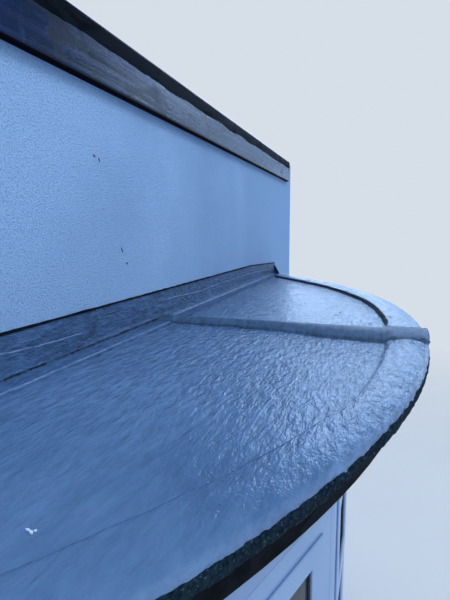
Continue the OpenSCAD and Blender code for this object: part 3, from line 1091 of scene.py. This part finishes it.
def buildBandShade(name, v, section):
    halfLength = max(abs(c[0]) for c in nodes["timber_band"].bound_box) - v["endGap"]
    count = round(2 * halfLength / v["step"])
    rings = []
    for i in range(count + 1):
        x = halfLength * (2 * i / count - 1)
        edge = v["edge"] + relief((x, 0, 0), *v["wander"]) + relief((x, 0, 0), *v["ragged"])
        rings.append([(x, y, z) for y, z in section(edge, v)])
    addPiece(name, loft(name, rings), eavesSkin)


# section of the dark strip of painted shadow along the band's top
def topShadowSection(edge, v):
    face, back = -v["face"], -v["face"] + v["sunk"]
    front = face - v["skin"]
    low = [(back, edge), (face - v["lip"], edge), (front, edge + v["slope"])]
    return low + [(front, v["top"] - v["topSlope"]), (back, v["top"])]


# section of the dark strip of painted shade under the band
def underShadeSection(edge, v):
    low, high, back = v["under"] - v["skin"], v["under"] + v["sunk"], -v["underBack"]
    ragged = (edge - v["edge"]) * v["underShare"]
    front = [(-v["face"] + v["underSlope"] + ragged, high), (-v["face"] + v["underFront"] + ragged, low)]
    return [(back, high)] + front + [(back, low)]


buildBandShade("band_top_painted_shadow", bandShadeLook, topShadowSection)
buildBandShade("band_under_painted_shade", bandShadeLook, underShadeSection)


# the bow of windows, the same sizes as the CAD
bowPlan = {
    "frameRadius": 1.881,
    "centreY": 1.24,
    "corner1": 7.6,
    "corner2": 29.3,
    "postWidth": 0.022,
    "endWidth": 0.010,
    "frameDepth": 0.070,
    "frameWidth": 0.062,
    "base": 0.790,
    "top": 2.260,
    "transomDrop": 0.440,
    "sashWidth": 0.052,
    "sashProud": 0.006,
    "glassBack": 0.010,
    "glassDepth": 0.024,
    "gasketWidth": 0.005,
    "gasketProud": 0.004,
    "gasketSink": 0.0005,
    "gasketGap": 0.0003,
}


# half the width of a light and its place in the bow, counted from the centre light
def lightFacts(i, v):
    wallAngle = math.acos(v["centreY"] / v["frameRadius"])
    c1, c2 = math.radians(v["corner1"]), math.radians(v["corner2"])
    turn = (0.0, (c1 + c2) / 2, (c2 + wallAngle) / 2)[abs(i)]
    span = (c1, (c2 - c1) / 2, (wallAngle - c2) / 2)[abs(i)]
    side = (i > 0) - (i < 0)
    cut = 0.0
    if abs(i) == 2:
        cut = v["frameDepth"] / math.tan(turn) + v["endWidth"] - v["postWidth"]
    half = v["frameRadius"] * math.sin(span) - v["postWidth"] - cut / 2
    place = Matrix.Translation((0, v["centreY"], 0)) @ Matrix.Rotation(side * turn, 4, "Z")
    place = place @ Matrix.Translation((-side * cut / 2, -v["frameRadius"] * math.cos(span), 0))
    return half, place


# closed ring of a section round a rectangle: section points are (out of the opening, depth)
def ringRound(bm, place, half, z0, z1, section):
    rows = []
    for sx, sz in ((-1, -1), (1, -1), (1, 1), (-1, 1)):
        z = z0 if sz < 0 else z1
        corner = [(sx * (half + out), deep, z + sz * out) for out, deep in section]
        rows.append([bm.verts.new(place @ Vector(p)) for p in corner])
    for k in range(4):
        joinRings(bm, rows[k], rows[(k + 1) % 4])


def buildSeals(v):
    bm = bmesh.new()
    transom, halfRail = v["top"] - v["transomDrop"], v["frameWidth"] / 2
    low, high = v["base"] + v["frameWidth"], v["top"] - v["frameWidth"]
    openings = ((low, transom - halfRail), (transom + halfRail, high))
    g, gap = v["gasketWidth"], v["gasketGap"]
    for i in range(-2, 3):
        half, place = lightFacts(i, v)
        half -= v["frameWidth"]
        for k, (z0, z1) in enumerate(openings):
            sashed = k == 1 or abs(i) == 1
            inset = v["sashWidth"] if sashed else 0.0
            glass = v["glassBack"] - (v["sashProud"] if sashed else 0.0)
            outer = (glass - v["gasketProud"], glass + v["gasketSink"])
            inner = (glass + v["glassDepth"] + v["gasketProud"], glass + v["glassDepth"] - v["gasketSink"])
            for front, back in (outer, inner):
                section = [(gap, front), (-g * 0.6, front), (-g, (front + back) / 2), (-g, back), (gap, back)]
                ringRound(bm, place, half - inset, z0 + inset, z1 - inset, section)
    addPiece("glass_gaskets", closedMesh("glass_gaskets", bm), gasketSkin, (), 30)


buildSeals(bowPlan)


# pieces of the same form as the CAD's, their worked edges rounded over
softLook = {
    "weld": 0.00002,
    "flatAngle": 0.4,
    "edgeAngle": 32,
    "segments": 3,
}


def softened(name, mat, width, v):
    mesh = nodes[name].data.copy()
    mesh.name = name + "_soft"
    bm = bmesh.new()
    bm.from_mesh(mesh)
    bmesh.ops.remove_doubles(bm, verts=bm.verts, dist=v["weld"])
    flat = math.radians(v["flatAngle"])
    bmesh.ops.dissolve_limit(bm, angle_limit=flat, verts=bm.verts, edges=bm.edges)
    bm.to_mesh(mesh)
    bm.free()
    mesh.materials.clear()
    obj = addPiece(name + "_soft", mesh, mat, [name], 40)
    bevel = obj.modifiers.new("softEdges", "BEVEL")
    bevel.width = width
    bevel.segments = v["segments"]
    bevel.limit_method = "ANGLE"
    bevel.angle_limit = math.radians(v["edgeAngle"])
    bevel.harden_normals = True


# nodes, skin, slot, and the bevel's width in metres
lights = ("left_end", "left", "centre", "right", "right_end")
softPieces = [
    ([light + "_frame" for light in lights], shadedPlasticSkin, "white_plastic", 0.0025),
    ([light + "_sash" for light in lights], shadedPlasticSkin, "white_plastic", 0.0028),
    (["corner_posts", "end_posts"], shadedPlasticSkin, "white_plastic", 0.0015),
    (["outer_sill"], shadedPlasticSkin, "white_plastic", 0.0025),
    (["head_boards", "window_board"], shadedBoardSkin, "white_boards", 0.0020),
    (["timber_band"], bandSkin, "dark_timber", 0.0030),
]
for names, mat, slot, width in softPieces:
    for name in names:
        softened(name, mat, width, softLook)
print("window and band pieces made")


# CAD nodes that keep their shape
keptNodes = [
    (["house_wall_left", "house_wall_right", "house_wall_above", "low_wall"], renderSkin, "render"),
    (["bay_plinth"], plinthSkin, "concrete"),
    (["opening_lintel"], concreteSkin, "concrete"),
    (["soffit_board", "dark_fascia"], eavesSkin, "dark_timber"),
    ([light + "_glass" for light in lights], glassSkin, "glass"),
    (["bay_ceiling"], ceilingSkin, "white_boards"),
    (["roof_deck", "cant_fillet"], deckSkin, "deck"),
]
for names, mat, slot in keptNodes:
    for name in names:
        nodes[name].data.materials.clear()
        nodes[name].data.materials.append(mat)
print("kept nodes dressed")


# floor, surroundings and lamp
stageLook = {
    "floorSize": 90.0,
    "floorTint": 0.97,
    "floorNoise": (0.8, 2),
    "floorStops": (0.3, 0.7),
    "floorRough": 0.9,
    "backdrop": srgb(214, 222, 232),
    # the floor fades into the backdrop, by the distance in metres
    "fade": (5.0, 11.0, 0.0, 1.0),
    "fill": (0.84, 0.93, 1.04, 1),
    "fillStrength": 0.82,
    "sheen": (0.50, 0.70, 1.0, 1),
    "sheenStrength": 11.0,
    "dim": (0.10, 0.20, 0.40, 1),
    # the glow comes in patches between dark ones, so that the stipple glints
    "patchNoise": (9.0, 3, 0.6),
    "patches": (0.46, 0.58, 0.06, 1.0),
    # strength of the sheen by the angle round from +X and by the angle up, in degrees
    "sheenTurn": [(-180, 0.22), (-80, 0.22), (-52, 0.03), (-33, 0.0), (-27, 0.6), (-20, 1.0), (-14, 0.85),
                  (-9, 0.62), (-4, 1.0), (11, 1.0), (16, 0.55), (22, 0.0), (52, 0.03), (80, 0.22),
                  (180, 0.22)],
    "sheenRise": [(-4, 0.0), (3, 0.36), (9, 0.37), (13, 0.35), (17.5, 1.0), (23, 0.85), (29, 0.0)],
}


def blendShaders(tree, fac, a, b):
    return newNode(tree, "ShaderNodeMixShader", {0: fac, 1: a, 2: b})[0]


def seenRays(tree, path):
    return mathNode(tree, "MAXIMUM", path.outputs["Is Camera Ray"], path.outputs["Is Transmission Ray"])


def makeFloor(v):
    mesh = bpy.data.meshes.new("floor")
    s = v["floorSize"]
    mesh.from_pydata([(-s, -s, 0), (s, -s, 0), (s, s, 0), (-s, s, 0)], [], [(0, 1, 2, 3)])
    floor = bpy.data.objects.new("floor", mesh)
    scene.collection.objects.link(floor)
    mat, tree, skin, co = newMaterial("floorPaint")
    tint = tuple(c * v["floorTint"] for c in v["backdrop"][:3]) + (1,)
    colour = ramp(tree, noiseNode(tree, co, *v["floorNoise"]), v["floorStops"], (v["backdrop"], tint))
    paint(tree, skin, colour, v["floorRough"])
    glow = newNode(tree, "ShaderNodeEmission", {"Color": v["backdrop"]})[0]
    distance = tree.nodes.new("ShaderNodeVectorMath")
    distance.operation = "LENGTH"
    feed(tree, distance, {0: co})
    fade = spread(tree, distance.outputs["Value"], *v["fade"])
    seen = seenRays(tree, tree.nodes.new("ShaderNodeLightPath"))
    mixed = blendShaders(tree, times(tree, fade, seen), skin.outputs["BSDF"], glow)
    out = next(n for n in tree.nodes if n.type == "OUTPUT_MATERIAL")
    feed(tree, out, {"Surface": mixed})
    mesh.materials.append(mat)


# one pale tone to the eye; the gloss sees a glow low down beyond the roof's far end
def makeSurround(v):
    world = bpy.data.worlds.new("softSurround")
    world.use_nodes = True
    tree = world.node_tree
    tree.nodes.clear()
    out = tree.nodes.new("ShaderNodeOutputWorld")

    def background(colour, strength):
        return newNode(tree, "ShaderNodeBackground", {"Color": colour, "Strength": strength})[0]

    direction = tree.nodes.new("ShaderNodeTexCoord").outputs["Generated"]
    axes = axesOf(tree, direction)
    turn = mathNode(tree, "DEGREES", mathNode(tree, "ARCTAN2", axes["Y"], axes["X"]))
    rise = mathNode(tree, "DEGREES", mathNode(tree, "ARCSINE", axes["Z"]))
    lobes = []
    for angle, table in ((turn, v["sheenTurn"]), (rise, v["sheenRise"])):
        share = spread(tree, angle, -180, 180, 0.0, 1.0)
        stops = [(at + 180) / 360 for at, level in table]
        lobes.append(ramp(tree, share, stops, [(level, level, level, 1) for at, level in table]))
    patches = spread(tree, noiseNode(tree, direction, *v["patchNoise"]), *v["patches"])
    lobe = times(tree, times(tree, *lobes), patches)
    bright = tuple(c * v["sheenStrength"] for c in v["sheen"][:3]) + (1,)
    glossGlow = background(mixColour(tree, lobe, v["dim"], bright), 1.0)
    path = tree.nodes.new("ShaderNodeLightPath")
    fill, backdrop = background(v["fill"], v["fillStrength"]), background(v["backdrop"], 1.0)
    lit = blendShaders(tree, path.outputs["Is Glossy Ray"], fill, glossGlow)
    feed(tree, out, {"Surface": blendShaders(tree, seenRays(tree, path), lit, backdrop)})
    scene.world = world


# soft light from high up on the open side
lampLook = {
    "place": (-3.6, -4.0, 8.4),
    "target": (-0.6, -0.3, 2.6),
    "size": (4, 3),
    "power": 350,
    "colour": (1.0, 0.99, 0.97),
}


def makeLamp(v):
    data = bpy.data.lights.new("keyLamp", "AREA")
    data.shape = "RECTANGLE"
    data.size, data.size_y = v["size"]
    data.energy = v["power"]
    data.color = v["colour"]
    lamp = bpy.data.objects.new("keyLamp", data)
    scene.collection.objects.link(lamp)
    lamp.location = v["place"]
    lamp.rotation_euler = (Vector(v["target"]) - lamp.location).to_track_quat("-Z", "Y").to_euler()
    lamp.visible_glossy = False


makeFloor(stageLook)
makeSurround(stageLook)
makeLamp(lampLook)
scene.view_settings.view_transform = "Standard"
print("stage set")
